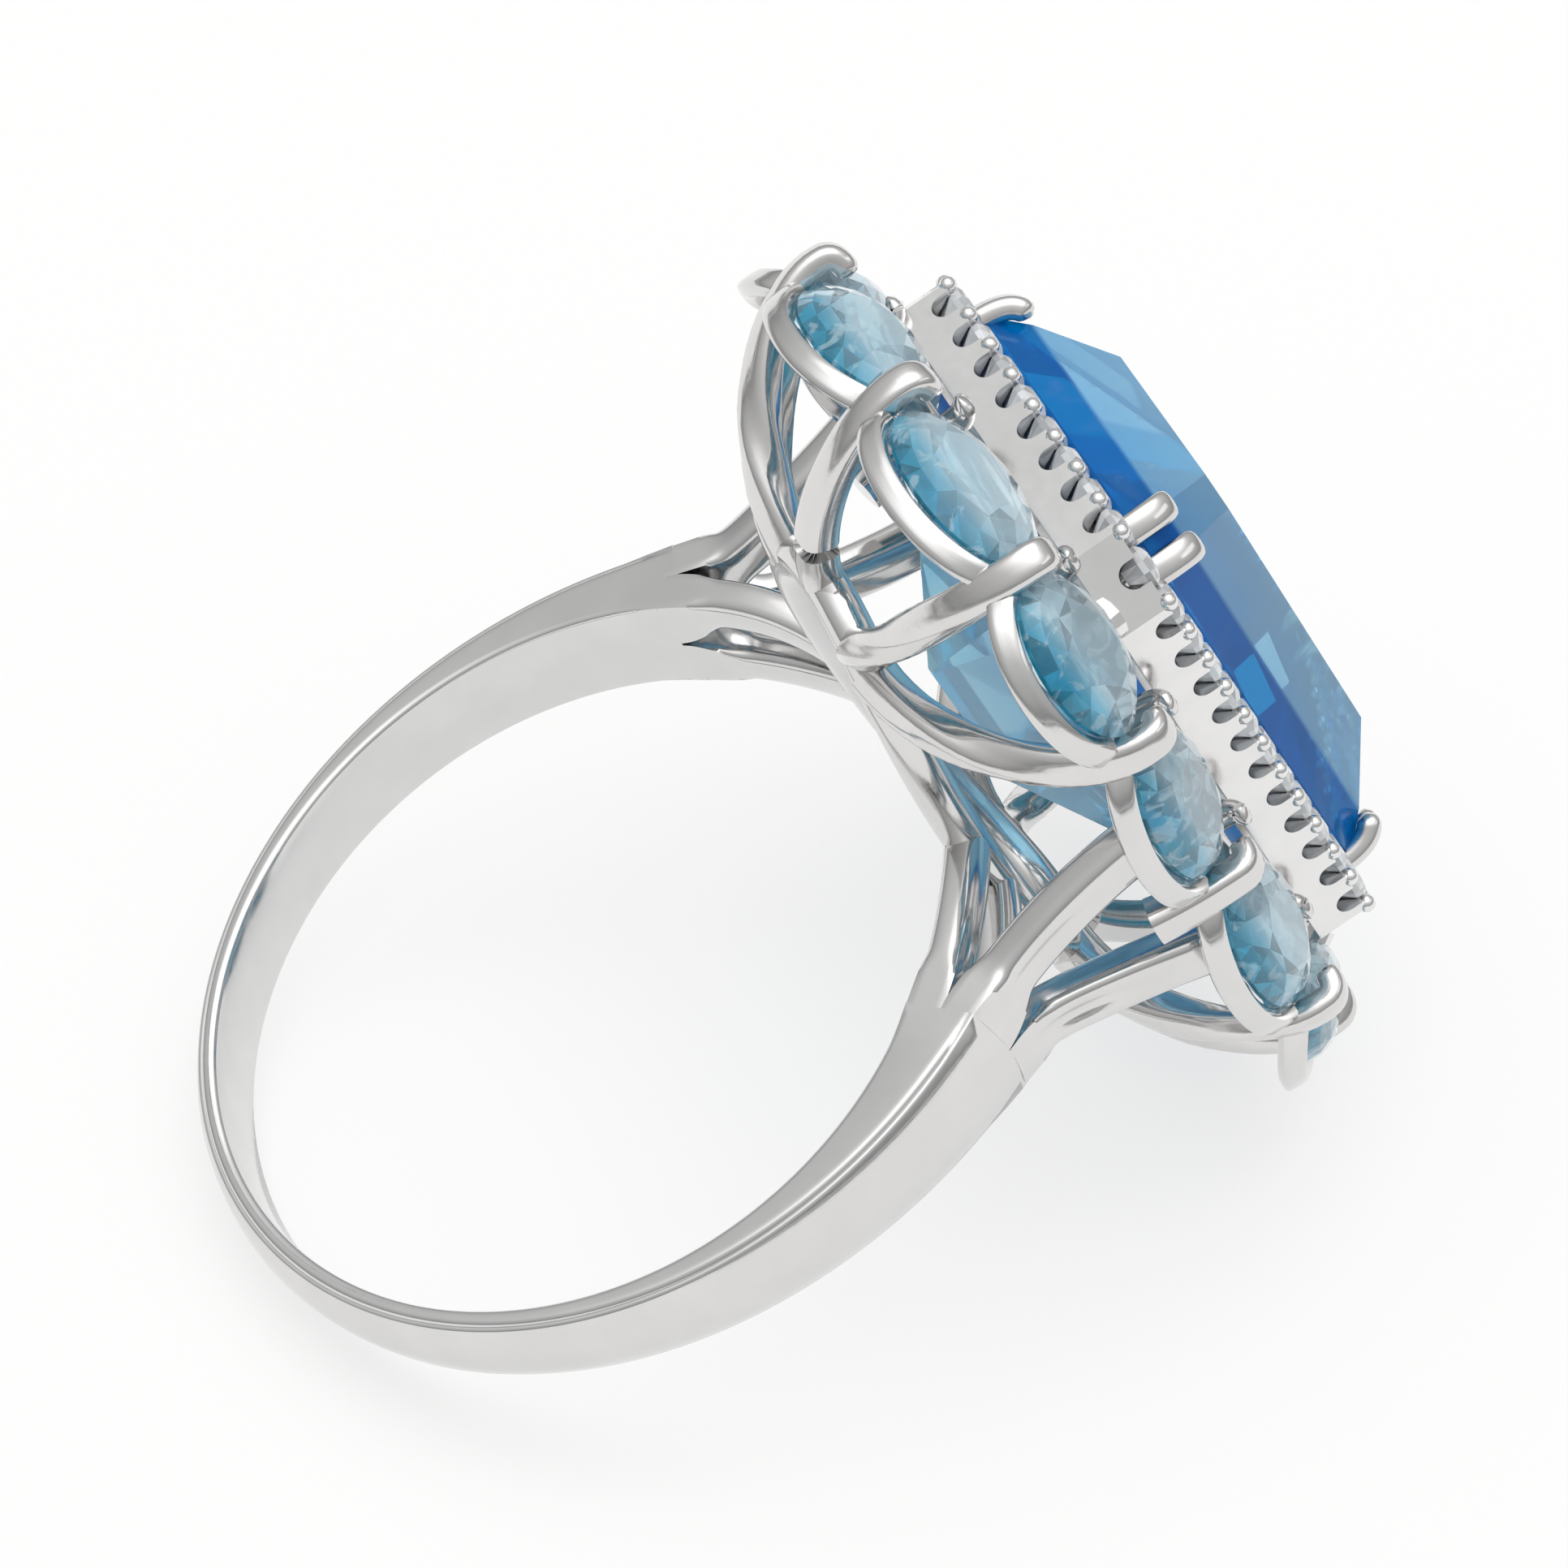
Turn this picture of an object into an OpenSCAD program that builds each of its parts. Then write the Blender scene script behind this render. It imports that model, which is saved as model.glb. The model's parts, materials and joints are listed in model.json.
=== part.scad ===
// Cluster cocktail ring: a split-shoulder shank, an open gallery of curved struts,
// twelve oval stones round the border, a pave halo and one large step-cut stone.
// Millimetres, +Z up out of the finger, +Y along the finger, origin at the finger-hole centre.

/* [Finger] */
// Radius of the hole that the finger goes through
finger_r = 8.65; // [7.5:0.05:10.5]

/* [Shank] */
// Half width of the band at the bottom of the ring
shank_half_w = 1.02; // [0.8:0.02:2]
// Extra half width that the band gains by the shoulder
shank_flare = 0.46; // [0:0.02:1.2]
// Thickness of the band's side face at the bottom
shank_side_t = 0.45; // [0.35:0.05:1.5]
// Extra side thickness that the band gains by the shoulder
shank_side_gain = 1.2; // [0.4:0.05:2]
// Height of the rounded back over its two side creases
shank_dome = 0.25; // [0.1:0.05:0.6]
// Angle from the bottom of the ring where the shoulder splits
split_angle = 130; // [120:1:138]
// Width of each shoulder arm
arm_w = 1.1; // [0.8:0.05:1.6]
// Thickness of each shoulder arm
arm_t = 1.0; // [0.7:0.05:1.5]

/* [Gallery] */
// Half length of the gallery rail along the finger
rail_half_y = 6.4; // [5:0.1:8]
// Half width of the gallery rail across the finger
rail_half_x = 3.2; // [2.4:0.1:4.5]
// Thickness of the gallery rail bar
rail_t = 0.95; // [0.7:0.05:1.4]

/* [Border stones] */
// Room between the halo's long outer wall and the border stones' inner half
border_gap_x = 0.88; // [0.4:0.02:2]
// Room between the halo's short outer wall and the border stones' inner half
border_gap_y = 1.56; // [1:0.02:3]
// Height of the border stones' girdle centres over the finger hole
border_rise = 4.0; // [3.2:0.05:5.5]
// From each border stone's end to the claw's centre line
oval_end_gap = 0.29; // [0.2:0.01:0.5]
// Short half axis of every border stone
oval_b = 1.4; // [1:0.05:1.6]
// Outward tilt of the border stones
oval_tilt = 40; // [20:1:50]
// Width of the outer claw wires
claw_w = 0.82; // [0.5:0.02:1.1]

/* [Halo] */
// Clearance between the halo's opening and the centre stone's long edges
halo_gap_x = 0.05; // [0:0.01:0.2]
// How far the centre stone's short edges lap over the halo's opening
halo_lap_y = 0.25; // [0:0.01:0.3]
// Width of the halo frame's metal
halo_w = 1.15; // [1:0.05:1.4]
// Height of the halo frame's outer wall
halo_h = 1.2; // [0.8:0.05:1.6]
// Height of the halo's top face over the border stones' girdle centres
halo_rise = 2.1; // [1.6:0.05:3]
// Radius of each small round stone
melee_r = 0.5; // [0.35:0.01:0.54]
// Least space between neighbouring round stones
melee_space = 0.05; // [0.02:0.01:0.3]

/* [Centre stone] */
// Width of the centre stone across the finger
stone_w = 8.8; // [7:0.05:11]
// Length of the centre stone along the finger
stone_l = 13.0; // [10.5:0.05:16]
// Cut-off of each corner
stone_cut = 1.06; // [0.6:0.02:2]
// Height of the girdle over the halo's top face
stone_lift = 0.25; // [0.2:0.05:0.8]
// Height of the crown over the girdle
stone_crown = 2.0; // [1:0.05:2.6]
// Depth of the pavilion under the girdle
stone_pavilion = 5.15; // [3.5:0.05:5.6]
// Width of the centre claw wires
centre_claw_w = 0.72; // [0.5:0.02:0.9]

/* [Hidden] */

metal = [0.83, 0.84, 0.86];
pale_blue = [0.45, 0.72, 0.85];
deep_blue = [0.03, 0.32, 0.80];
clear = [0.90, 0.93, 0.97];

solder = 0.12;                      // how far soldered pieces run into each other
stone_gap = 0.03;                   // clearance between a stone and its metal
seat_w = 0.50;                      // border seat strip, across
seat_h = 0.65;                      // border seat strip, height
sw = stone_w / 2;
sl = stone_l / 2;
halo_x = sw + halo_gap_x + halo_w;  // outer faces of the halo
halo_y = sl - halo_lap_y + halo_w;
oval_in = oval_b * cos(oval_tilt);  // how far a tilted border stone reaches in and out
border_x = halo_x + oval_in + border_gap_x;
border_y = halo_y + oval_in + border_gap_y;
border_z = finger_r + border_rise;
halo_z = border_z + halo_rise;
stone_z = halo_z + stone_lift;
claw_tip_z = border_z + 0.45;
seat_drop = 1.25;                   // tops of the outer arms under the stones' girdle centre
rail_r = finger_r + rail_t / 2;     // the rail lies on the finger cylinder
melee_line_x = halo_x - halo_w / 2;
melee_line_y = halo_y - halo_w / 2;
halo_cut = 1.35;                    // cut-off of each outer corner
halo_inner_cut = halo_cut - halo_w * (2 - sqrt(2));
cut_down_r = melee_r * 0.6;         // notch in the wall beside each round stone
cut_down_z = 0.24;
bead_r = 0.15;
halo_bottom = halo_z - halo_h;

// ---------- vectors and curves ----------
function unit(v) = v / norm(v);
function mix(a, b, t) = a + (b - a) * t;
// Point at t on the Bezier curve through a control list of any length
function bez(c, t) = len(c) == 1 ? c[0]
  : bez([for (i = [0 : len(c) - 2]) mix(c[i], c[i + 1], t)], t);
function bez_path(c, n) = [for (i = [0 : n]) bez(c, i / n)];
function tangent(path, i, loop) = let (m = len(path))
  unit(path[loop ? (i + 1) % m : min(i + 1, m - 1)] - path[loop ? (i + m - 1) % m : max(i - 1, 0)]);

// One oval section of a bar: w across, h along the reference direction
function section(p, t, ref, w, h, k) = let (s = unit(cross(t, ref)), u = cross(s, t))
  [for (j = [0 : k - 1]) let (a = 360 * j / k) p + s * w / 2 * cos(a) + u * h / 2 * sin(a)];

// Sum of a ring's edge cross products: its facing direction times twice its area
function facing(r, k, j = 0) = j == k ? [0, 0, 0]
  : cross(r[j] - r[0], r[(j + 1) % k] - r[0]) + facing(r, k, j + 1);

// Closed skin through rings of points, wound the right way out whichever way the rings run
module skin(rings, loop = false) {
  k = len(rings[0]);
  m = len(rings);
  last = loop ? m - 1 : m - 2;
  pts = [for (r = rings) each r];
  walls = [for (i = [0 : last], j = [0 : k - 1], h = [0, 1])
    let (a = i * k + j, b = i * k + (j + 1) % k,
         c = ((i + 1) % m) * k + (j + 1) % k, d = ((i + 1) % m) * k + j)
    h == 0 ? [a, b, c] : [a, c, d]];
  caps = loop ? [] : concat(
    [for (j = [1 : k - 2]) [0, j + 1, j]],
    [for (j = [1 : k - 2]) [(m - 1) * k, (m - 1) * k + j, (m - 1) * k + j + 1]]);
  faces = concat(walls, caps);
  mid = floor(m / 2);
  turned = facing(rings[mid], k) * (rings[mid][0] - rings[mid - 1][0]) > 0;
  polyhedron(points = pts, faces = turned ? [for (f = faces) [f[0], f[2], f[1]]] : faces, convexity = 8);
}

// Bar along a path with its size blending from [w, h] to [w, h]
module bar(path, ref, from, to, k = 12, loop = false) {
  m = len(path);
  skin([for (i = [0 : m - 1]) let (f = i / (m - 1), size = mix(from, to, f))
    section(path[i], tangent(path, i, loop), ref, size[0], size[1], k)], loop);
}

// ---------- shank ----------
function band_half(a) = shank_half_w + shank_flare * pow(abs(a) / split_angle, 3);
function band_side(a) = finger_r + shank_side_t + shank_side_gain * pow(abs(a) / split_angle, 4);
function round_finger(r, y, a) = [r * sin(a), y, -r * cos(a)];

// Band section at angle a: flat sides, rounded back, run into the bore by one millimetre
function band_section(a) = let (w = band_half(a), r = band_side(a), n = 8)
  concat([round_finger(finger_r - 0.5, w * 0.96, a), round_finger(finger_r - 0.5, -w * 0.96, a)],
    [for (j = [0 : n]) let (f = -1 + 2 * j / n)
      round_finger(r + shank_dome * (1 - f * f), w * f, a)]);

module band() {
  steps = 52;
  skin([for (i = [0 : steps]) let (a = mix(-split_angle, split_angle, i / steps)) band_section(a)]);
}

// Inner arm: a turned sector that hugs the finger from the split up to the gallery rail
module inner_arm(sx, sy) {
  a0 = split_angle - 5;
  a1 = 180 - asin(rail_half_x / finger_r) + 2;
  w = arm_w / 2;
  y = sy * 1.12;
  mirror([sx < 0 ? 1 : 0, 0, 0]) rotate([90, 0, 0]) rotate([0, 0, a0 - 90])
    rotate_extrude(angle = a1 - a0, $fn = 180) translate([0, -y])
      polygon([[finger_r, -w], [finger_r + rail_t * 0.7, -w], [finger_r + rail_t, -w * 0.45],
        [finger_r + rail_t, w * 0.45], [finger_r + rail_t * 0.7, w], [finger_r, w]]);
}

// Outer arm: carries the back of the band up to the border seat
module outer_arm(sx, sy) {
  a = split_angle - 7;
  r = band_side(split_angle) - 0.45;
  top = border_z - seat_drop - 0.1;
  low = -r * cos(a);
  path = bez_path([
    [sx * r * sin(a), sy * 0.72, low],
    [sx * (r * sin(a) - 1.05), sy * 0.80, mix(low, top, 0.25)],
    [sx * (border_x - 0.50), sy * 1.15, mix(low, top, 0.42)],
    [sx * (border_x - 0.80), sy * 1.55, mix(low, top, 0.68)],
    [sx * (border_x - 0.50), sy * 2.05, top]], 12);
  bar(path, [sx, 0, 0.15], [arm_w * 1.35, arm_t * 1.2], [arm_w, arm_t * 0.9], 12);
}

module finger_hole() rotate([90, 0, 0]) cylinder(r = finger_r, h = 2 * border_y, center = true, $fn = 180);
module shank() color(metal) difference() {
  band();
  finger_hole();
}
module shoulder_inner(sx, sy) color(metal) inner_arm(sx, sy);
module shoulder_outer(sx, sy) color(metal) outer_arm(sx, sy);

// ---------- gallery rail ----------
// Plan point of the rail at angle a, then dropped onto the finger cylinder
function rail_plan(a) = let (c = cos(a), s = sin(a), k = pow(pow(abs(c), 2.6) + pow(abs(s), 2.6), -1 / 2.6))
  [rail_half_x * k * c, rail_half_y * k * s];
function on_rail(a) = let (q = rail_plan(a)) [q[0], q[1], sqrt(rail_r * rail_r - q[0] * q[0])];

module gallery_rail() color(metal) {
  n = 60;
  path = [for (i = [0 : n - 1]) on_rail(360 * i / n)];
  skin([for (i = [0 : n - 1])
    section(path[i], tangent(path, i, true), [path[i][0], 0, path[i][2]], rail_t, rail_t - 0.02, 12)], true);
}

// ---------- border layout ----------
// Claw positions in plan, counter-clockwise from +X; four of the twelve lie on the axes
claw_corner_x = 0.68 * border_x;
claw_corner_y = 0.907 * border_y;
claw_side_y = 0.526 * border_y;
quarter = [[border_x, 0], [border_x + 0.04, claw_side_y], [claw_corner_x, claw_corner_y]];
function flip(q, sx, sy) = [q[0] * sx, q[1] * sy];
claw_plan = [
  quarter[0], quarter[1], quarter[2], [0, border_y],
  flip(quarter[2], -1, 1), flip(quarter[1], -1, 1), flip(quarter[0], -1, 1),
  flip(quarter[1], -1, -1), flip(quarter[2], -1, -1), [0, -border_y],
  flip(quarter[2], 1, -1), flip(quarter[1], 1, -1)];
function claw_xy(i) = claw_plan[(i + 12) % 12];
function is_end(i) = i % 6 == 0;                 // the two short claws on the X axis
function is_corner(i) = i % 3 == 1;              // stones: side, corner, side in each quarter
function chord(i) = claw_xy(i + 1) - claw_xy(i);
function chord_dir(i) = unit(chord(i));
function stone_a(i) = norm(chord(i)) / 2 - oval_end_gap;
function outward(i) = [chord_dir(i)[1], -chord_dir(i)[0]];
function stone_inset(i) = is_corner(i) ? 0.30 : 0.42;
function stone_xy(i) = (claw_xy(i) + claw_xy(i + 1)) / 2 - outward(i) * stone_inset(i);

// Puts children, drawn flat with the long axis on X and outside on -Y, at border stone i
module at_stone(i) {
  d = chord_dir(i);
  p = stone_xy(i);
  translate([p[0], p[1], border_z]) rotate([0, 0, atan2(d[1], d[0])]) rotate([oval_tilt, 0, 0]) children();
}

function ellipse(a, b, z, k, turn = 0) = [for (j = [0 : k - 1])
  let (t = 360 * j / k + turn) [a * cos(t), b * sin(t), z]];

// Oval mixed cut: table, star ring, girdle, pavilion break, culet
module oval_gem(a, b) {
  k = 16;
  skin([
    ellipse(a * 0.06, b * 0.06, -b * 0.80, k),
    ellipse(a * 0.62, b * 0.60, -b * 0.48, k, 180 / k),
    ellipse(a, b, -b * 0.05, k),
    ellipse(a, b, b * 0.05, k),
    ellipse(a * 0.80, b * 0.78, b * 0.27, k, 180 / k),
    ellipse(a * 0.58, b * 0.56, b * 0.40, k)]);
}

module border_stone(i) color(pale_blue) at_stone(i) oval_gem(stone_a(i) - stone_gap, oval_b - stone_gap);

// Point on the girdle line of stone i in the ring frame; t in degrees, 270 is outermost
function girdle_point(i, t, grow, drop) = let (
    d = chord_dir(i), n = outward(i), p = stone_xy(i),
    u = (stone_a(i) + grow) * cos(t), v = (oval_b + grow) * sin(t))
  [p[0] + d[0] * u - n[0] * v * cos(oval_tilt),
   p[1] + d[1] * u - n[1] * v * cos(oval_tilt),
   border_z + v * sin(oval_tilt) - drop];

// ---------- seat strips ----------
// Scalloped strip under the outer edges, one shallow bow per stone, all in one loop
function seat_point(i, f) = let (t = mix(212, 328, f)) girdle_point(i, t, 0.10, 0.36);
module outer_seat_rail() color(metal) {
  n = 9;
  path = [for (i = [0 : 11], j = [0 : n]) seat_point(i, j / n)];
  m = len(path);
  skin([for (q = [0 : m - 1]) section(path[q], tangent(path, q, true), [0, 0, 1], seat_w, seat_h, 10)], true);
}

// Inner strip: a plain loop under the stones' inner edges, outside the halo wall
function loop_plan(hx, hy, a) = let (c = cos(a), s = sin(a), k = pow(pow(abs(c), 3.2) + pow(abs(s), 3.2), -1 / 3.2))
  [hx * k * c, hy * k * s];
seat_back = 0.48 + oval_in; // from the claws in to the stones' inner edges
inner_seat_x = border_x - seat_back;
inner_seat_y = border_y - seat_back - 0.3;
inner_seat_z = border_z + oval_b * sin(oval_tilt) - 0.85;
module inner_seat_rail() color(metal) {
  n = 60;
  path = [for (i = [0 : n - 1]) let (q = loop_plan(inner_seat_x, inner_seat_y, 360 * i / n))
    [q[0], q[1], inner_seat_z]];
  skin([for (i = [0 : n - 1]) section(path[i], tangent(path, i, true), [0, 0, 1], 0.55, 0.75, 10)], true);
}

// ---------- outer claws ----------
function claw_out(i) = unit(i % 6 == 0 || i % 6 == 3 ? claw_xy(i) : outward(i) + outward(i + 11));
// Angle round the rail where strut i lands; the two struts of a corner land close together
rail_corner = 57;
function landing(i) = let (q = i % 6, s = q == 1 ? rail_corner - 3 : q == 2 ? rail_corner + 5
  : q == 3 ? 90 : q == 4 ? 175 - rail_corner : q == 5 ? 183 - rail_corner : 0)
  s + (i >= 6 ? 180 : 0);

// Strut from the gallery rail: it runs out flat, then turns up past the seat and over the stones
module claw(i) color(metal) {
  q = claw_xy(i);
  o = claw_out(i);
  top = [q[0] + o[0] * 0.10, q[1] + o[1] * 0.10, claw_tip_z - 0.25];
  low = is_end(i) ? [q[0] - o[0] * 0.15, q[1] - o[1] * 0.15, border_z - 1.85] : on_rail(landing(i));
  flat = [top[0] - low[0], top[1] - low[1], 0];
  lift = top[2] - low[2];
  rise = is_end(i) ? bez_path([low, mix(low, top, 0.5) + [o[0] * 0.1, o[1] * 0.1, 0], top], 5)
    : bez_path([low, low + flat * 0.55 + [0, 0, lift * 0.03], low + flat * 1.03 + [0, 0, lift * 0.53], top], 12);
  over = bez_path([top, top + [0, 0, 0.34], top + [-o[0] * 0.34, -o[1] * 0.34, 0.40],
    top + [-o[0] * 0.62, -o[1] * 0.62, 0.34]], 5);
  path = concat(rise, [for (j = [1 : 5]) over[j]]);
  m = len(path);
  skin([for (j = [0 : m - 1]) let (f = j / (m - 1), end = f > 0.97 ? 0.7 : 1)
    section(path[j], tangent(path, j, false), [o[0], o[1], 0.35],
      end * mix(claw_w * 1.15, claw_w, f), end * mix(claw_w * 1.1, claw_w * 0.78, f), 12)]);
}

// Small inner claws, one behind each outer claw, leaning out over the stones' inner ends
module inner_claws() color(metal) for (i = [0 : 11]) {
  q = claw_xy(i);
  o = claw_out(i);
  foot = loop_plan(inner_seat_x, inner_seat_y, atan2(q[1] / inner_seat_y, q[0] / inner_seat_x));
  path = bez_path([[foot[0], foot[1], inner_seat_z + 0.05], [foot[0], foot[1], inner_seat_z + 0.75],
    [foot[0] + o[0] * 0.5, foot[1] + o[1] * 0.5, inner_seat_z + 0.95]], 6);
  bar(path, [o[0], o[1], 0.2], [0.62, 0.55], [0.34, 0.26], 10);
}

// ---------- halo ----------
module cut_block(hx, hy, c, z0, z1) translate([0, 0, z0]) linear_extrude(height = z1 - z0)
  polygon([[hx, c - hy], [hx, hy - c], [hx - c, hy], [c - hx, hy], [-hx, hy - c], [-hx, c - hy],
    [c - hx, -hy], [hx - c, -hy]]);

// Every halo stone as [x, y, heading of outward]
melee_long = floor(2 * (halo_y - halo_cut) / (2 * melee_r + melee_space));
melee_short = floor(2 * (halo_x - halo_cut) / (2 * melee_r + melee_space));
melee_pitch_y = 2 * (halo_y - halo_cut) / melee_long;
melee_pitch_x = 2 * (halo_x - halo_cut) / melee_short;
melee = concat(
  [for (s = [-1, 1], j = [0 : melee_long - 1])
    [s * melee_line_x, (j - (melee_long - 1) / 2) * melee_pitch_y, s > 0 ? 0 : 180]],
  [for (s = [-1, 1], j = [0 : melee_short - 1])
    [(j - (melee_short - 1) / 2) * melee_pitch_x, s * melee_line_y, s * 90]],
  [for (sx = [-1, 1], sy = [-1, 1])
    [sx * (halo_x - halo_cut / 2 - halo_w / 2 * sqrt(0.5)), sy * (halo_y - halo_cut / 2 - halo_w / 2 * sqrt(0.5)),
     atan2(sy, sx)]]);
module at_melee() for (m = melee) translate([m[0], m[1], halo_z]) rotate([0, 0, m[2]]) children();

module halo_frame() color(metal) difference() {
  cut_block(halo_x, halo_y, halo_cut, halo_bottom, halo_z);
  cut_block(halo_x - halo_w, halo_y - halo_w, halo_inner_cut, halo_bottom - 1, halo_z + 1);
  at_melee() {
    translate([0, 0, -0.75]) cylinder(r1 = 0.14, r2 = melee_r, h = 0.65, $fn = 24);
    translate([0, 0, -0.12]) cylinder(r = melee_r, h = 1, $fn = 24);
    translate([0.2, 0, -cut_down_z]) rotate([0, 90, 0]) cylinder(r = cut_down_r, h = 1, $fn = 24);
    translate([0.2, -cut_down_r, -cut_down_z]) cube([1, 2 * cut_down_r, 1]);
  }
}

// Round brilliant, girdle at z = 0
module round_gem(r) {
  k = 8;
  skin([ellipse(r * 0.05, r * 0.05, -r * 0.86, k), ellipse(r, r, -0.02, k), ellipse(r, r, 0.02, k),
    ellipse(r * 0.78, r * 0.78, r * 0.20, k, 180 / k), ellipse(r * 0.55, r * 0.55, r * 0.32, k)]);
}
module halo_stones() color(clear) at_melee() translate([0, 0, -0.06]) round_gem(melee_r - stone_gap);

// Bead grains on the halo's edges, one pair in each gap between neighbouring round stones
module bead() sphere(r = bead_r, $fn = 20);
module halo_beads() color(metal) {
  for (s = [-1, 1], e = [-1, 1], j = [0 : melee_long])
    translate([s * (melee_line_x + e * 0.36 * halo_w), (j - melee_long / 2) * melee_pitch_y, halo_z]) bead();
  for (s = [-1, 1], e = [-1, 1], j = [0 : melee_short])
    translate([(j - melee_short / 2) * melee_pitch_x, s * (melee_line_y + e * 0.36 * halo_w), halo_z]) bead();
}

// Posts that carry the halo and the centre seat down to the inner strip
module halo_posts() color(metal) for (sx = [-1, 1], sy = [-1, 1]) {
  top = [sx * (halo_x - 0.45), sy * (halo_y - 1.1), halo_bottom + solder];
  low = [sx * (inner_seat_x - 0.45), sy * (inner_seat_y - 1.6), inner_seat_z - 0.25];
  bar(bez_path([low, mix(low, top, 0.5) + [sx * 0.12, sy * 0.12, 0], top], 6), [sx, sy, 0],
    [0.8, 0.6], [1.0, 0.7], 12);
}

// ---------- centre stone and its setting ----------
function step_ring(a, b, c, z) = [
  [a, -b + c, z], [a, b - c, z], [a - c, b, z], [-a + c, b, z],
  [-a, b - c, z], [-a, -b + c, z], [-a + c, -b, z], [a - c, -b, z]];
module centre_stone() color(deep_blue) skin([
  step_ring(0.10, sl - sw + 0.10, 0.05, stone_z - stone_pavilion),
  step_ring(sw * 0.58, sl - sw * 0.42, stone_cut * 0.62, stone_z - stone_pavilion * 0.64),
  step_ring(sw * 0.88, sl - sw * 0.12, stone_cut * 0.88, stone_z - stone_pavilion * 0.27),
  step_ring(sw, sl, stone_cut, stone_z - 0.1),
  step_ring(sw, sl, stone_cut, stone_z + 0.1),
  step_ring(sw - 0.62, sl - 0.62, stone_cut * 0.92, stone_z + stone_crown * 0.52),
  step_ring(sw - 1.55, sl - 1.55, stone_cut * 0.80, stone_z + stone_crown)]);

// Seat: a rim inside the halo, its opening cut to the pavilion's steep upper step
module centre_seat() color(metal) difference() {
  low = halo_bottom - 0.15;
  high = halo_z - 0.7;
  slope = sw * 0.12 / (stone_pavilion * 0.27 - 0.1);
  cut_block(halo_x - halo_w + solder, halo_y - halo_w + solder, halo_inner_cut + 0.05, low, high);
  skin([for (z = [low - 0.5, high + 0.3]) let (in = (stone_z - 0.1 - z) * slope - stone_gap)
    step_ring(sw - in, sl - in, stone_cut, z)]);
}

// Eight claws, a parallel pair on each cut corner
centre_claw_gap = 1.0;
function claw_corner(k) = [k < 4 ? 1 : -1, (k % 4) < 2 ? 1 : -1];
module centre_claw(k) color(metal) {
  c = claw_corner(k);
  o = [c[0], c[1], 0] * sqrt(0.5);
  side = (k % 2 == 0 ? 1 : -1) * centre_claw_gap / 2;
  base = [c[0] * (sw - stone_cut / 2) - o[1] * side, c[1] * (sl - stone_cut / 2) + o[0] * side, 0];
  path = bez_path([base + o * 0.16 + [0, 0, halo_z - 0.9], base + o * 0.34 + [0, 0, stone_z + 0.5],
    base + o * 0.12 + [0, 0, stone_z + 1.0], base - o * 0.42 + [0, 0, stone_z + 1.15]], 9);
  m = len(path);
  skin([for (j = [0 : m - 1]) let (end = j == m - 1 ? 0.6 : 1)
    section(path[j], tangent(path, j, false), [o[0], o[1], 0.3],
      end * centre_claw_w, end * centre_claw_w * 0.8, 12)]);
}

// ---------- assembly ----------
shank();
shoulder_inner(1, -1);  // shoulder_inner_1
shoulder_inner(1, 1);  // shoulder_inner_2
shoulder_inner(-1, -1);  // shoulder_inner_3
shoulder_inner(-1, 1);  // shoulder_inner_4
shoulder_outer(1, -1);  // shoulder_outer_1
shoulder_outer(1, 1);  // shoulder_outer_2
shoulder_outer(-1, -1);  // shoulder_outer_3
shoulder_outer(-1, 1);  // shoulder_outer_4
gallery_rail();
outer_seat_rail();
inner_seat_rail();
inner_claws();
claw(0);  // claw_01
claw(1);  // claw_02
claw(2);  // claw_03
claw(3);  // claw_04
claw(4);  // claw_05
claw(5);  // claw_06
claw(6);  // claw_07
claw(7);  // claw_08
claw(8);  // claw_09
claw(9);  // claw_10
claw(10);  // claw_11
claw(11);  // claw_12
border_stone(0);  // oval_01
border_stone(1);  // oval_02
border_stone(2);  // oval_03
border_stone(3);  // oval_04
border_stone(4);  // oval_05
border_stone(5);  // oval_06
border_stone(6);  // oval_07
border_stone(7);  // oval_08
border_stone(8);  // oval_09
border_stone(9);  // oval_10
border_stone(10);  // oval_11
border_stone(11);  // oval_12
halo_frame();
halo_beads();
halo_stones();
halo_posts();
centre_seat();
centre_claw(0);  // centre_claw_1
centre_claw(1);  // centre_claw_2
centre_claw(2);  // centre_claw_3
centre_claw(3);  // centre_claw_4
centre_claw(4);  // centre_claw_5
centre_claw(5);  // centre_claw_6
centre_claw(6);  // centre_claw_7
centre_claw(7);  // centre_claw_8
centre_stone();
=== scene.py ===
# %% [markdown]
# # A cluster cocktail ring
# The ring is cast and hand set: a split-shoulder shank, an open gallery of bent bars,
# twelve tilted oval stones, a pave halo and one big step-cut stone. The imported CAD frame
# gives the sizes. This script gives the same pieces their finer shapes and finishes.

# %% Load the frame
import json
import math

import bmesh
import bpy
from mathutils import Matrix, Vector


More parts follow.
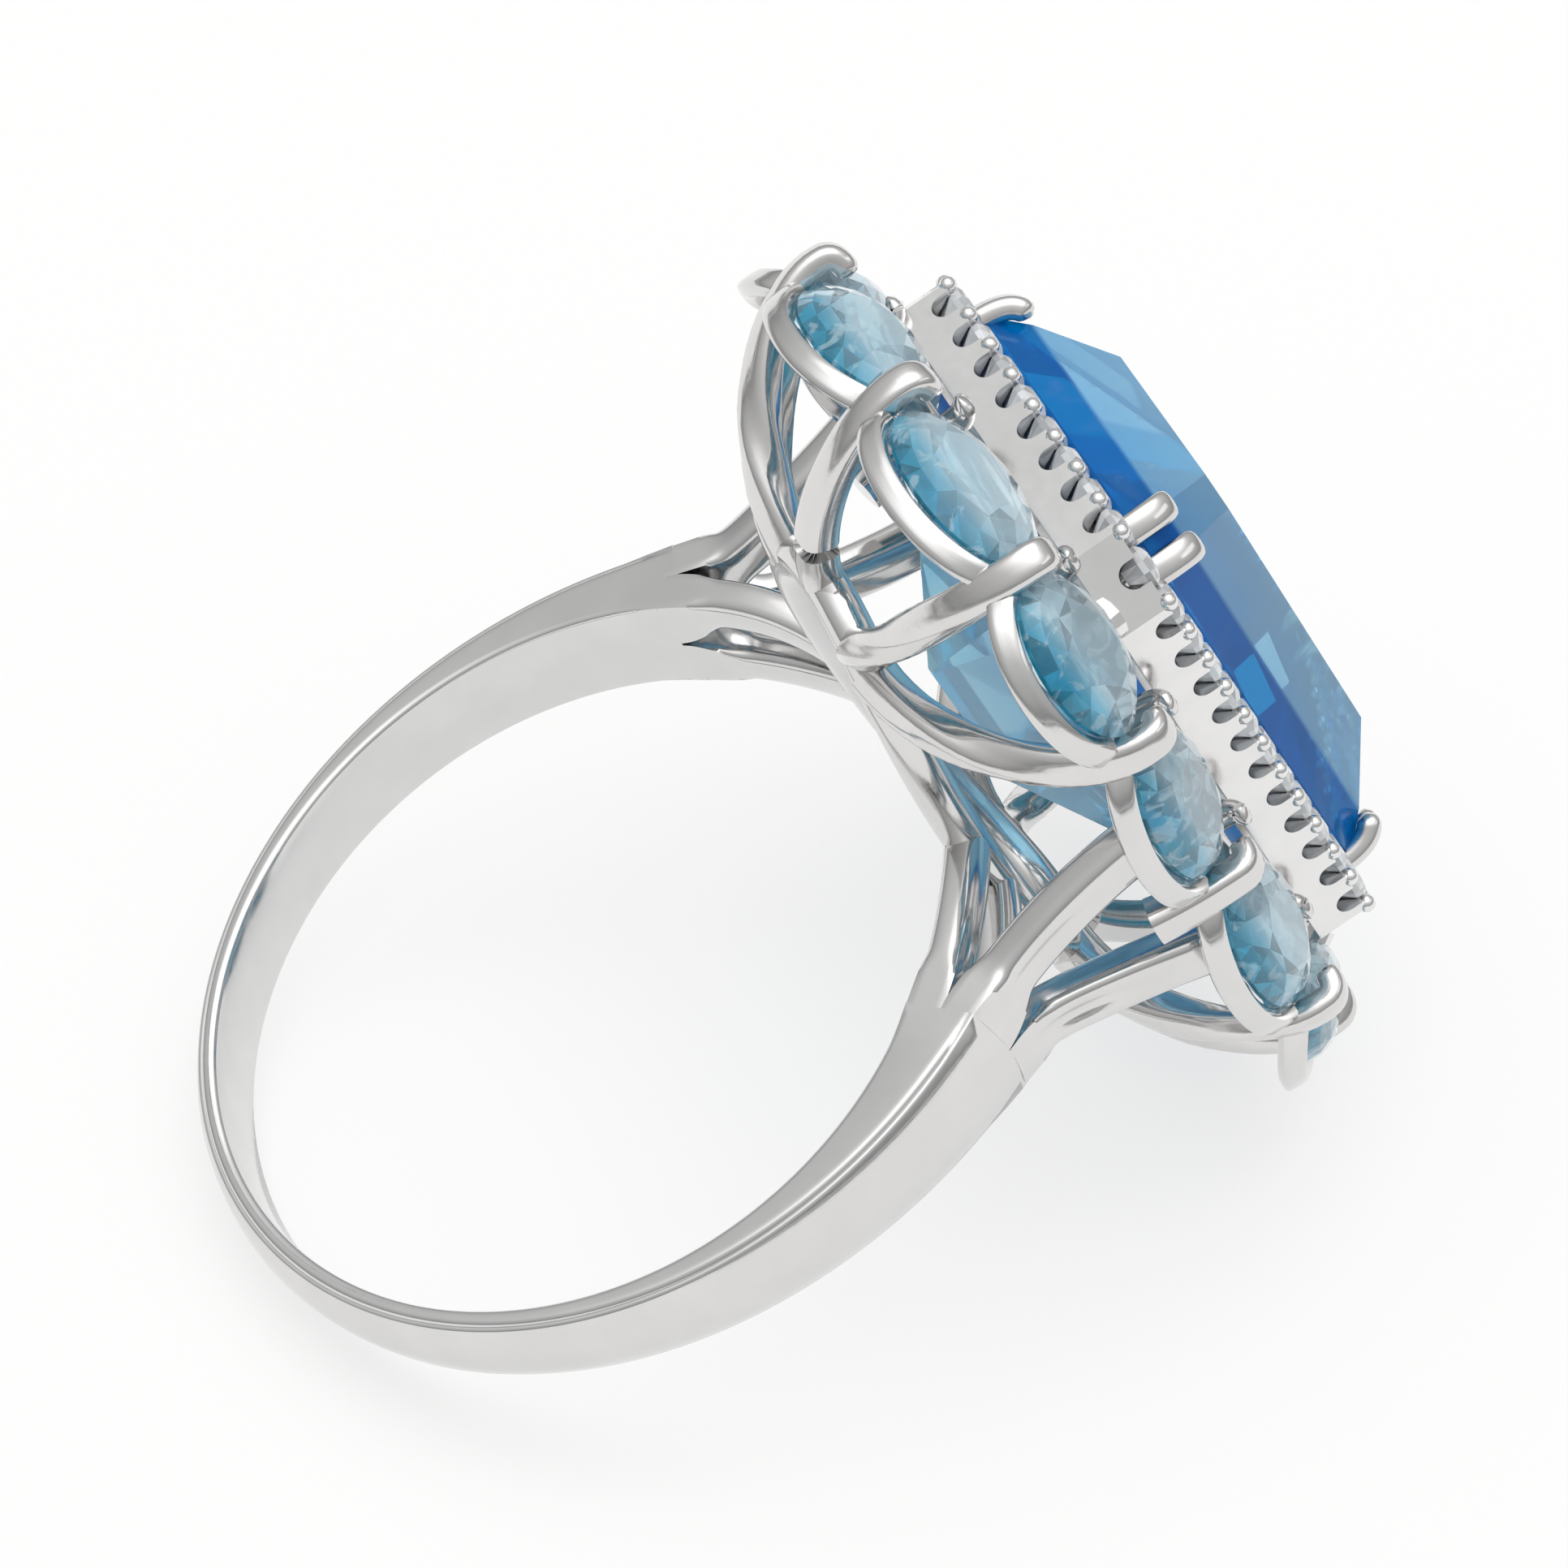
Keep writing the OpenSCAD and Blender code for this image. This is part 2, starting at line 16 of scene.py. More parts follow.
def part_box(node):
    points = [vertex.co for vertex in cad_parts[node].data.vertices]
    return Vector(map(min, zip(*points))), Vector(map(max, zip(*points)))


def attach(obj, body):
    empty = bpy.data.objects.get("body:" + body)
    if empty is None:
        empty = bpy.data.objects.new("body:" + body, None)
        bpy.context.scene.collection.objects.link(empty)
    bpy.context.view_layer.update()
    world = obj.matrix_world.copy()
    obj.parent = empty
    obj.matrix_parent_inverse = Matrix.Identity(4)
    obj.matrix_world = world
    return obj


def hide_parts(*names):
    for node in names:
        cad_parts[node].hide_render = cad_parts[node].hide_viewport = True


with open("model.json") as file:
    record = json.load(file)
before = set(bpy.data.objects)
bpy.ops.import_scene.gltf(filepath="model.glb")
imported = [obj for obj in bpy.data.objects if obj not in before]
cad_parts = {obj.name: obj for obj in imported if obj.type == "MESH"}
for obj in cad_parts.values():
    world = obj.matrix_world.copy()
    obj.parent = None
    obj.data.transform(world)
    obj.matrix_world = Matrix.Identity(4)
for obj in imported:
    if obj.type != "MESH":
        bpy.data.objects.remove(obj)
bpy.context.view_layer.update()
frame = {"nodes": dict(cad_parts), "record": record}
MM = 0.001
print("frame nodes:", len(frame["nodes"]))

# %% [markdown]
# ## Sizes
# A maker works from a few dimensions. Most are read back from the CAD nodes, so the looks
# follow the part when the part changes. Everything below is in millimetres, and each
# finished mesh is scaled to metres once.

# %% Driving sizes
def node_size(node):
    low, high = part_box(node)
    return low / MM, high / MM

finger_r = frame["record"]["mounts"][0]["dims"]["r_mm"]
stone_low, stone_high = node_size("centre_stone")
halo_x, halo_y, halo_z = node_size("halo_frame")[1]
halo_w = 1.15
oval_half = 1.40
tilt = math.radians(40)
border_gap_x, border_gap_y = 0.88, 1.56
border_rise = 4.0
oval_in = oval_half * math.cos(tilt)
border_x = halo_x + oval_in + border_gap_x
border_y = halo_y + oval_in + border_gap_y
border_z = finger_r + border_rise
print("finger radius", finger_r, "halo top", round(halo_z, 2), "border", round(border_z, 2))

# %% [markdown]
# ## Curves
# Bars are bent along Bezier curves. A control list of any length gives a smooth bend, which
# is how a wire takes its shape between two fixed ends.

# %% Curve helpers
def bezier(points, t):
    points = [Vector(p) for p in points]
    while len(points) > 1:
        points = [a.lerp(b, t) for a, b in zip(points, points[1:])]
    return points[0]

def bent(points, steps):
    return [bezier(points, i / steps) for i in range(steps + 1)]

def tangents(path, closed=False):
    last = len(path) - 1
    out = []
    for i in range(len(path)):
        after = path[(i + 1) % len(path)] if closed else path[min(i + 1, last)]
        before = path[i - 1] if closed else path[max(i - 1, 0)]
        out.append((after - before).normalized())
    return out

# %% [markdown]
# ## Skinning a bar
# A bar is one ring of edges that is extruded again and again. Each new ring is moved to its
# place on the path, so the operator makes the faces and the path only says where.

# %% Loft and section
def loft(bm, rings, closed=False):
    verts = [bm.verts.new(p) for p in rings[0]]
    edges = [bm.edges.new((verts[i], verts[(i + 1) % len(verts)])) for i in range(len(verts))]
    first = edges
    for ring in rings[1:]:
        made = bmesh.ops.extrude_edge_only(bm, edges=edges)["geom"]
        fresh = {g for g in made if isinstance(g, bmesh.types.BMVert)}
        moved = [next(e.other_vert(v) for e in v.link_edges if e.other_vert(v) in fresh) for v in verts]
        for vert, place in zip(moved, ring):
            vert.co = place
        edges = [g for g in made if isinstance(g, bmesh.types.BMEdge)
                 and g.verts[0] in fresh and g.verts[1] in fresh]
        verts = moved
    if closed:
        bmesh.ops.bridge_loops(bm, edges=first + edges)
    else:
        bmesh.ops.contextual_create(bm, geom=first)
        bmesh.ops.contextual_create(bm, geom=edges)

def squircle(steps, power):
    out = []
    for i in range(steps):
        a = 2 * math.pi * (i + 0.5) / steps
        c, s = math.cos(a), math.sin(a)
        k = (abs(c) ** power + abs(s) ** power) ** (-1 / power)
        out.append((c * k / 2, s * k / 2))
    return out

def section(place, along, up, width, height, power=2.0, steps=20):
    side = along.cross(Vector(up)).normalized()
    rise = side.cross(along)
    return [place + side * (u * width) + rise * (v * height) for u, v in squircle(steps, power)]

def tapered(path, total, end):
    run, out = 0.0, []
    for n, place in enumerate(path):
        run += (place - path[n - 1]).length if n else 0
        left = total - run
        out.append((run / total, math.sqrt(max(0.04, 1 - max(0, 1 - left / end) ** 2))))
    return out

def path_length(path):
    return sum((b - a).length for a, b in zip(path, path[1:]))

# %% Finish a piece
def finished(bm, name, nodes, material, smooth=40, bevel=0.0):
    bmesh.ops.remove_doubles(bm, verts=bm.verts, dist=1e-5)
    bmesh.ops.recalc_face_normals(bm, faces=bm.faces)
    bmesh.ops.scale(bm, vec=(MM, MM, MM), verts=bm.verts)
    mesh = bpy.data.meshes.new(name)
    bm.to_mesh(mesh)
    bm.free()
    mesh.polygons.foreach_set("use_smooth", [smooth > 0] * len(mesh.polygons))
    if smooth > 0:
        mesh.set_sharp_from_angle(angle=math.radians(smooth))
    piece = bpy.data.objects.new(name, mesh)
    bpy.context.scene.collection.objects.link(piece)
    mesh.materials.append(material)
    if smooth == 0:
        # Each facet gets a random value, which the stone shader turns into painted light and shade: some
        # facets lighter, some darker.
        facet = mesh.attributes.new("facet", "FLOAT", "FACE")
        facet_light_and_shade = [math.sin(n * 12.9898 + 4.1) * 437.585 % 1 for n in range(len(mesh.polygons))]
        facet.data.foreach_set("value", facet_light_and_shade)
    if bevel:
        edge = piece.modifiers.new("edge", "BEVEL")
        edge.width = bevel * MM
        edge.segments = 2
        edge.limit_method = "ANGLE"
        edge.angle_limit = math.radians(30)
    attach(piece, "root")
    if nodes:
        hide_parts(*nodes)
    print(name, "faces", len(mesh.polygons))
    return piece

# %% [markdown]
# ## Finishes
# Polished white gold is a mirror with faint polishing marks, so its roughness changes from
# place to place and its surface is very slightly uneven. Both come from one shared group.

# %% Polish group
def polish_group():
    group = bpy.data.node_groups.new("polish", "ShaderNodeTree")
    face = group.interface
    face.new_socket(name="Scale", in_out="INPUT", socket_type="NodeSocketFloat")
    face.new_socket(name="Base", in_out="INPUT", socket_type="NodeSocketColor")
    face.new_socket(name="Worn", in_out="INPUT", socket_type="NodeSocketColor")
    face.new_socket(name="Low", in_out="INPUT", socket_type="NodeSocketFloat")
    face.new_socket(name="High", in_out="INPUT", socket_type="NodeSocketFloat")
    face.new_socket(name="Color", in_out="OUTPUT", socket_type="NodeSocketColor")
    face.new_socket(name="Roughness", in_out="OUTPUT", socket_type="NodeSocketFloat")
    face.new_socket(name="Height", in_out="OUTPUT", socket_type="NodeSocketFloat")
    nodes, links = group.nodes, group.links
    inp = nodes.new("NodeGroupInput")
    out = nodes.new("NodeGroupOutput")
    where = nodes.new("ShaderNodeTexCoord")
    cloud = nodes.new("ShaderNodeTexNoise")
    cloud.inputs["Detail"].default_value = 3
    marks = nodes.new("ShaderNodeTexNoise")
    marks.inputs["Detail"].default_value = 5
    stretch = nodes.new("ShaderNodeMapping")
    stretch.inputs["Scale"].default_value = (1, 6, 1)
    links.new(where.outputs["Object"], cloud.inputs["Vector"])
    links.new(where.outputs["Object"], stretch.inputs["Vector"])
    links.new(stretch.outputs["Vector"], marks.inputs["Vector"])
    finer = nodes.new("ShaderNodeMath")
    finer.operation = "MULTIPLY"
    finer.inputs[1].default_value = 4
    links.new(inp.outputs["Scale"], cloud.inputs["Scale"])
    links.new(inp.outputs["Scale"], finer.inputs[0])
    links.new(finer.outputs[0], marks.inputs["Scale"])
    tint = nodes.new("ShaderNodeMix")
    tint.data_type = "RGBA"
    links.new(cloud.outputs["Fac"], tint.inputs["Factor"])
    links.new(inp.outputs["Base"], tint.inputs["A"])
    links.new(inp.outputs["Worn"], tint.inputs["B"])
    rough = nodes.new("ShaderNodeMapRange")
    links.new(marks.outputs["Fac"], rough.inputs["Value"])
    rough.inputs["From Min"].default_value = 0.3
    rough.inputs["From Max"].default_value = 0.7
    links.new(inp.outputs["Low"], rough.inputs["To Min"])
    links.new(inp.outputs["High"], rough.inputs["To Max"])
    links.new(tint.outputs["Result"], out.inputs["Color"])
    links.new(rough.outputs["Result"], out.inputs["Roughness"])
    links.new(cloud.outputs["Fac"], out.inputs["Height"])
    return group

polish = polish_group()

# %% Metal and stone materials
def new_material(name):
    mat = bpy.data.materials.new(name)
    mat.use_nodes = True
    return mat, mat.node_tree, mat.node_tree.nodes["Principled BSDF"]

def metal(name, base, worn, low, high, scale=900, bump=0.02):
    mat, tree, shader = new_material(name)
    marks = tree.nodes.new("ShaderNodeGroup")
    marks.node_tree = polish
    marks.inputs["Scale"].default_value = scale
    marks.inputs["Base"].default_value = (*base, 1)
    marks.inputs["Worn"].default_value = (*worn, 1)
    marks.inputs["Low"].default_value = low
    marks.inputs["High"].default_value = high
    relief = tree.nodes.new("ShaderNodeBump")
    relief.inputs["Strength"].default_value = bump
    relief.inputs["Distance"].default_value = 0.00005
    tree.links.new(marks.outputs["Color"], shader.inputs["Base Color"])
    tree.links.new(marks.outputs["Roughness"], shader.inputs["Roughness"])
    tree.links.new(marks.outputs["Height"], relief.inputs["Height"])
    tree.links.new(relief.outputs["Normal"], shader.inputs["Normal"])
    shader.inputs["Metallic"].default_value = 1
    return mat

def gem(name, light_and_shade_bands, ior, roughness=0.02, scale=500, cloud=0.25, coat=0.0,
        facet_shade_range=(0.8, 1.1), flash=(400, 0.2)):
    mat, tree, shader = new_material(name)
    where = tree.nodes.new("ShaderNodeTexCoord")
    split = tree.nodes.new("ShaderNodeSeparateXYZ")
    tree.links.new(where.outputs["Object"], split.inputs["Vector"])
    low, high = light_and_shade_bands[0][0], light_and_shade_bands[-1][0]
    level = tree.nodes.new("ShaderNodeMapRange")
    level.inputs["From Min"].default_value = low * MM
    level.inputs["From Max"].default_value = high * MM
    tree.links.new(split.outputs["Z"], level.inputs["Value"])
    # Colour by height is painted light and shade: dark bands are painted shade, light bands are painted
    # reflected light.
    ramp = tree.nodes.new("ShaderNodeValToRGB")
    for stop in list(ramp.color_ramp.elements)[1:]:
        ramp.color_ramp.elements.remove(stop)
    for n, (z, color) in enumerate(light_and_shade_bands):
        spot = (z - low) / (high - low)
        stop = ramp.color_ramp.elements[0] if n == 0 else ramp.color_ramp.elements.new(spot)
        stop.position = spot
        stop.color = (*color, 1)
    tree.links.new(level.outputs["Result"], ramp.inputs["Fac"])
    marks = tree.nodes.new("ShaderNodeGroup")
    marks.node_tree = polish
    marks.inputs["Scale"].default_value = scale
    marks.inputs["Base"].default_value = (1, 1, 1, 1)
    marks.inputs["Worn"].default_value = (1 - cloud, 1 - cloud * 0.5, 1 - cloud * 0.2, 1)
    marks.inputs["Low"].default_value = roughness * 0.4
    marks.inputs["High"].default_value = roughness
    tint = tree.nodes.new("ShaderNodeMix")
    tint.data_type = "RGBA"
    tint.blend_type = "MULTIPLY"
    tint.inputs["Factor"].default_value = 1
    tree.links.new(ramp.outputs["Color"], tint.inputs["A"])
    tree.links.new(marks.outputs["Color"], tint.inputs["B"])
    # Painted light and shade per facet: each facet's random value scales its colour, lighter or darker.
    facet = tree.nodes.new("ShaderNodeAttribute")
    facet.attribute_name = "facet"
    level = tree.nodes.new("ShaderNodeMapRange")
    level.inputs["To Min"].default_value, level.inputs["To Max"].default_value = facet_shade_range
    tree.links.new(facet.outputs["Fac"], level.inputs["Value"])
    each = tree.nodes.new("ShaderNodeMix")
    each.data_type = "RGBA"
    each.blend_type = "MULTIPLY"
    each.inputs["Factor"].default_value = 1
    tree.links.new(tint.outputs["Result"], each.inputs["A"])
    tree.links.new(level.outputs["Result"], each.inputs["B"])
    # Painted glints: bright azure streaks of noise painted into the colour, standing in for sparkle of light.
    glint_noise = tree.nodes.new("ShaderNodeTexNoise")
    glint_noise.inputs["Scale"].default_value = flash[0]
    glint_noise.inputs["Detail"].default_value = 3
    glint_noise.inputs["Distortion"].default_value = 1.2
    tree.links.new(where.outputs["Object"], glint_noise.inputs["Vector"])
    bright = tree.nodes.new("ShaderNodeMapRange")
    bright.inputs["From Min"].default_value = 0.54
    bright.inputs["From Max"].default_value = 0.62
    bright.inputs["To Max"].default_value = flash[1]
    tree.links.new(glint_noise.outputs["Fac"], bright.inputs["Value"])
    lit = tree.nodes.new("ShaderNodeMix")
    lit.data_type = "RGBA"
    lit.inputs["B"].default_value = (0.72, 0.93, 1.0, 1)
    tree.links.new(bright.outputs["Result"], lit.inputs["Factor"])
    tree.links.new(each.outputs["Result"], lit.inputs["A"])
    tree.links.new(lit.outputs["Result"], shader.inputs["Base Color"])
    tree.links.new(marks.outputs["Roughness"], shader.inputs["Roughness"])
    shader.inputs["Transmission Weight"].default_value = 1
    shader.inputs["IOR"].default_value = ior
    shader.inputs["Coat Weight"].default_value = coat
    shader.inputs["Coat Roughness"].default_value = 0.05
    return mat

white_gold = metal("white_gold", (0.74, 0.735, 0.73), (0.66, 0.655, 0.65), 0.09, 0.17)
claw_gold = metal("claw_gold", (0.75, 0.742, 0.735), (0.66, 0.652, 0.645), 0.10, 0.19)
# The halo is the same white gold. Its lighter colour is painted light for the sparkle of the halo rim.
halo_gold = metal("halo_gold", (0.86, 0.855, 0.85), (0.74, 0.735, 0.73), 0.14, 0.24, bump=0.05)

# Colour stops by height in millimetres, from each stone's lowest point up. They paint light and shade
# into the colour: painted shade in the darker bands, such as the big stone's dark band from below the girdle
# through its first crown step, and painted reflected light in the lighter bands, the crown tops and the big
# stone's pavilion.
deep_zones = ((9.8, (0.56, 0.90, 1.0)), (12.6, (0.48, 0.86, 1.0)), (13.3, (0.0, 0.22, 0.68)),
              (15.78, (0.0, 0.21, 0.64)), (15.88, (0.34, 0.70, 0.98)), (17.0, (0.44, 0.77, 0.98)))
pale_zones = ((11.2, (0.01, 0.32, 0.52)), (12.1, (0.04, 0.46, 0.68)), (12.4, (0.26, 0.62, 0.78)),
              (12.7, (0.70, 0.86, 0.93)), (14.2, (0.88, 0.95, 0.98)))
clear_zones = ((13.9, (0.92, 0.94, 0.96)), (15.2, (0.99, 0.99, 1.0)))
deep_blue = gem("deep_blue_stone", deep_zones, 1.24, coat=0.1, facet_shade_range=(0.88, 1.12), flash=(260, 0.04))
pale_blue = gem("pale_blue_stone", pale_zones, 1.36, roughness=0.04, coat=0.8, facet_shade_range=(0.5, 1.25),
                flash=(1500, 0.5))
colourless = gem("clear_stone", clear_zones, 1.5, cloud=0.06, coat=0.8, facet_shade_range=(0.5, 1.3))
for stone, share in ((deep_blue, 0.6), (pale_blue, 0.5), (colourless, 0.35)):
    stone.node_tree.nodes["Principled BSDF"].inputs["Transmission Weight"].default_value = share
print("materials:", len(bpy.data.materials))

# %% [markdown]
# ## The shank
# The band is one sweep round the finger. Its section has flat sides, a crease and a gently
# rounded back, and it grows wider and thicker towards the shoulders.

# %% Band
split = 130
band_half_bottom, band_flare = 1.02, 0.46
side_bottom, side_gain = 0.45, 1.2
dome = 0.25
edge_fade = 7

def band_half(angle):
    return band_half_bottom + band_flare * (abs(angle) / split) ** 3

def band_side(angle):
    return finger_r + side_bottom + side_gain * (abs(angle) / split) ** 4

def round_finger(r, y, angle):
    a = math.radians(angle)
    return Vector((r * math.sin(a), y, -r * math.cos(a)))

def crown_of(angle, y):
    return dome * (1 - (y / band_half(angle)) ** 2)

def band_ring(angle, backs=12):
    w, r = band_half(angle), band_side(angle)
    kept = min(1, (split - abs(angle)) / edge_fade)
    inner = [(finger_r + 0.16, w), (finger_r + 0.09 * kept, w - 0.006 * kept),
             (finger_r + 0.03 * kept, w - 0.04 * kept), (finger_r, w - 0.11), (finger_r, 0),
             (finger_r, 0.11 - w), (finger_r + 0.03 * kept, 0.04 * kept - w),
             (finger_r + 0.09 * kept, 0.006 * kept - w), (finger_r + 0.16, -w)]
    bead_line = [(-0.30, 0.0), (-0.22, 0.0), (-0.14, 0.015), (-0.10, 0.085), (-0.05, 0.075),
                 (-0.01, 0.09), (0.03, 0.14)]
    low_crease = [(r + dr, dy * kept - w) for dr, dy in bead_line]
    high_crease = [(r + dr, w - dy * kept) for dr, dy in reversed(bead_line)]
    flats = [-1 + 2 * i / backs for i in range(backs + 1)]
    back = [(r + crown_of(angle, w * f), w * f) for f in flats[2:-2]]
    return [round_finger(rr, y, angle) for rr, y in inner + low_crease + back + high_crease]

bm = bmesh.new()
steps = 150
loft(bm, [band_ring(-split + 2 * split * i / steps) for i in range(steps + 1)])
finished(bm, "shank", ["shank"], white_gold, smooth=50)

# %% [markdown]
# ## The shoulders
# Each shoulder splits in four. The two inner arms follow the finger and the two outer arms
# rise to the border. They start as boxy quarters of the band and round off as they leave it.

# %% Shoulder arms
part_line = 0.52
inner_wide, inner_thick = 0.99, 0.92
outer_wide, outer_thick = 1.24, 0.96
arm_flare, arm_curl = 0.0106, 0.0000232

def arm_ring(place, along, up_way, width, height, power, swell, shift, groove):
    ring = section(place, along, up_way, width, height, power, 44)
    side = along.cross(Vector(up_way)).normalized()
    rise = side.cross(along)
    for n, p in enumerate(ring):
        u, v = (p - place).dot(side) / width, (p - place).dot(rise) / height
        if v > 0:
            lift = swell * dome * (1 - (u * shift + 0.5) ** 2) * min(1, v / 0.4)
            ring[n] = p + rise * (lift - groove * math.exp(-(u / 0.2) ** 2))
    return ring

def ease(t):
    return (1 + math.cos(math.pi * min(1, t))) / 2

def inner_arm(name, sx, sy, node):
    rings = []
    count = 30
    stop = 158.5
    whole = band_side(split) - finger_r
    for i in range(count + 1):
        angle = split + (stop - split) * i / count
        free = i / count
        fade = ease(free / 0.35)
        a = math.radians(angle)
        width = inner_wide + (band_half(split) - 1.02) * fade
        past = angle - split
        y = band_half(split) + arm_flare * past - arm_curl * past ** 3 - width / 2
        thick = inner_thick + (whole * part_line + 0.05 - inner_thick) * fade
        reach = finger_r + thick / 2
        centre = Vector((sx * math.sin(a) * reach, sy * y, -math.cos(a) * reach))
        along = Vector((sx * math.cos(a), 0, math.sin(a)))
        radial = Vector((sx * math.sin(a), 0, -math.cos(a)))
        rings.append(section(centre, along, radial, width, thick, 3.2 + 40 * fade ** 2, 44))
    bm = bmesh.new()
    loft(bm, rings)
    return finished(bm, name, [node], white_gold, smooth=50)

def outer_arm(name, sx, sy, node):
    whole = band_side(split) - finger_r
    tall = whole * (1 - part_line) + 0.05
    half = band_half(split) / 2
    leave = round_finger(band_side(split) - tall / 2, half, split)
    near = split - 5
    widening = band_half(split) - band_half(near)
    before = round_finger(band_side(near) - tall / 2, half - widening, near)
    heading = (leave - before).normalized()
    path = bent([leave, leave + heading * 1.7, (7.10, 1.15, 8.1), (6.80, 1.55, 9.4), (7.05, 2.05, 11.35)], 46)
    path = [Vector((sx * p.x, sy * p.y, p.z)) for p in path]
    ways = tangents(path)
    ways[0] = Vector((sx * math.cos(math.radians(split)), 0, math.sin(math.radians(split))))
    radial = Vector((sx * math.sin(math.radians(split)), 0, -math.cos(math.radians(split))))
    rings = []
    for i, (place, along) in enumerate(zip(path, ways)):
        f = i / (len(path) - 1)
        fade = ease(f / 0.35)
        width = outer_wide + (2 * half - outer_wide) * fade
        height = outer_thick + (tall - outer_thick) * fade
        up_way = radial.lerp(Vector((sx, 0, 0.3)).normalized(), 1 - fade)
        deep = 0.15 * math.sin(math.pi * (f - 0.1) / 0.8) if 0.1 < f < 0.9 else 0
        rings.append(arm_ring(place, along, up_way, width, height, 3.4 + 40 * fade ** 2, fade, sx * sy, deep))
    bm = bmesh.new()
    loft(bm, rings)
    return finished(bm, name, [node], white_gold, smooth=50)

corners = [(1, -1), (1, 1), (-1, -1), (-1, 1)]
for n, (sx, sy) in enumerate(corners, 1):
    inner_arm(f"shoulder_inner_{n}", sx, sy, f"shoulder_inner_{n}")
    outer_arm(f"shoulder_outer_{n}", sx, sy, f"shoulder_outer_{n}")

# %% [markdown]
# ## The gallery rail
# A bar bent to an oval loop and then to the finger, so it lies on the finger's cylinder.

# %% Gallery rail
rail_bar = 0.95
rail_r = finger_r + rail_bar / 2
rail_x, rail_y, rail_power = 3.35, 6.4, 2.4

def on_rail(degrees):
    a = math.radians(degrees)
    c, s = math.cos(a), math.sin(a)
    k = (abs(c) ** rail_power + abs(s) ** rail_power) ** (-1 / rail_power)
    x, y = rail_x * k * c, rail_y * k * s
    return Vector((x, y, math.sqrt(rail_r ** 2 - x * x)))

path = [on_rail(360 * i / 96) for i in range(96)]
bm = bmesh.new()
loft(bm, [section(p, t, (p.x, 0, p.z), rail_bar, rail_bar, 2.6, 18)
          for p, t in zip(path, tangents(path, closed=True))], closed=True)
finished(bm, "gallery_rail", ["gallery_rail"], white_gold)

# %% [markdown]
# ## Border layout
# Twelve claws stand on a rounded rectangle, and one oval stone hangs between each pair.
# A stone lies along its pair's chord and leans outward.

# %% Claw and stone places
corner_claw = (0.68 * border_x, 0.907 * border_y)
side_claw = (border_x + 0.04, 0.526 * border_y)
quarter = [(border_x, 0), side_claw, corner_claw]

def claw_places():
    out = []
    for turn in range(4):
        sx, sy = ((1, 1), (-1, 1), (-1, -1), (1, -1))[turn]
        if turn % 2 == 0:
            out += [(quarter[0][0] * sx, 0.0), (side_claw[0] * sx, side_claw[1] * sy),
                    (corner_claw[0] * sx, corner_claw[1] * sy)]
        else:
            out += [(0.0, border_y * sy), (corner_claw[0] * sx, corner_claw[1] * sy),
                    (side_claw[0] * sx, side_claw[1] * sy)]
    return [Vector((x, y, 0)) for x, y in out]

claws = claw_places()
up = Vector((0, 0, 1))

def chord(i):
    return (claws[(i + 1) % 12] - claws[i % 12]).normalized()

def outward(i):
    return chord(i).cross(up)

def stone_half(i):
    return (claws[(i + 1) % 12] - claws[i % 12]).length / 2 - 0.29

def stone_place(i):
    inset = 0.30 if i % 3 == 1 else 0.42
    mid = (claws[i % 12] + claws[(i + 1) % 12]) / 2 - outward(i) * inset
    return Vector((mid.x, mid.y, border_z))

def stone_axes(i):
    across = (-outward(i) * math.cos(tilt) + up * math.sin(tilt))
    return chord(i), across, chord(i).cross(across)

def claw_out(i):
    if i % 3 == 0:
        return claws[i].normalized()
    return (outward(i) + outward(i - 1)).normalized()

print("claws", len(claws), "first stone at", [round(v, 2) for v in stone_place(0)])

# %% [markdown]
# ## Cutting a stone
# Facets are flat because a cutter grinds planes. Rings of corner points are set out at their
# heights and wrapped in a convex hull, which gives the same flat facets.

# %% Gem cutters
def oval_cut(bm, a, b, place, axes):
    levels = [(-0.80, 0.10, 9, 0.5), (-0.46, 0.62, 18, 0.5), (-0.06, 1.0, 36, 0.0), (0.02, 1.0, 36, 0.0),
              (0.22, 0.84, 18, 0.5), (0.36, 0.64, 9, 0.0), (0.42, 0.50, 9, 0.5)]
    turn = Matrix((axes[0], axes[1], axes[2])).transposed().to_4x4()
    for height, share, count, phase in levels:
        size = Matrix.Diagonal((a * share, b * share, 1, 1))
        spin = Matrix.Rotation(2 * math.pi * phase / count, 4, "Z")
        lift = Matrix.Translation((0, 0, height * b))
        bmesh.ops.create_circle(bm, segments=count, radius=1,
                                matrix=Matrix.Translation(place) @ turn @ lift @ size @ spin)
    hull(bm)

def hull(bm):
    bmesh.ops.delete(bm, geom=bm.faces[:], context="FACES_ONLY")
    made = bmesh.ops.convex_hull(bm, input=bm.verts[:])
    inside = [g for g in made["geom_interior"] if isinstance(g, bmesh.types.BMVert)]
    bmesh.ops.delete(bm, geom=inside, context="VERTS")
    loose = [e for e in bm.edges if not e.link_faces]
    bmesh.ops.delete(bm, geom=loose, context="EDGES")
    bmesh.ops.dissolve_limit(bm, angle_limit=math.radians(0.6), verts=bm.verts[:], edges=bm.edges[:])

for i in range(12):
    bm = bmesh.new()
    oval_cut(bm, stone_half(i) - 0.03, oval_half - 0.03, stone_place(i), stone_axes(i))
    finished(bm, f"oval_{i + 1:02d}", [f"oval_{i + 1:02d}"], pale_blue, smooth=0)

# %% [markdown]
# ## Seats of the border stones
# A scalloped strip runs under the stones' outer edges, bowing out under each one, and a
# plain strip runs behind them.

# %% Seat strips
def girdle_point(i, degrees, grow, drop):
    a = math.radians(degrees)
    along, across, _ = stone_axes(i)
    out = along * ((stone_half(i) + grow) * math.cos(a)) + across * ((oval_half + grow) * math.sin(a))
    return stone_place(i) + out - up * drop

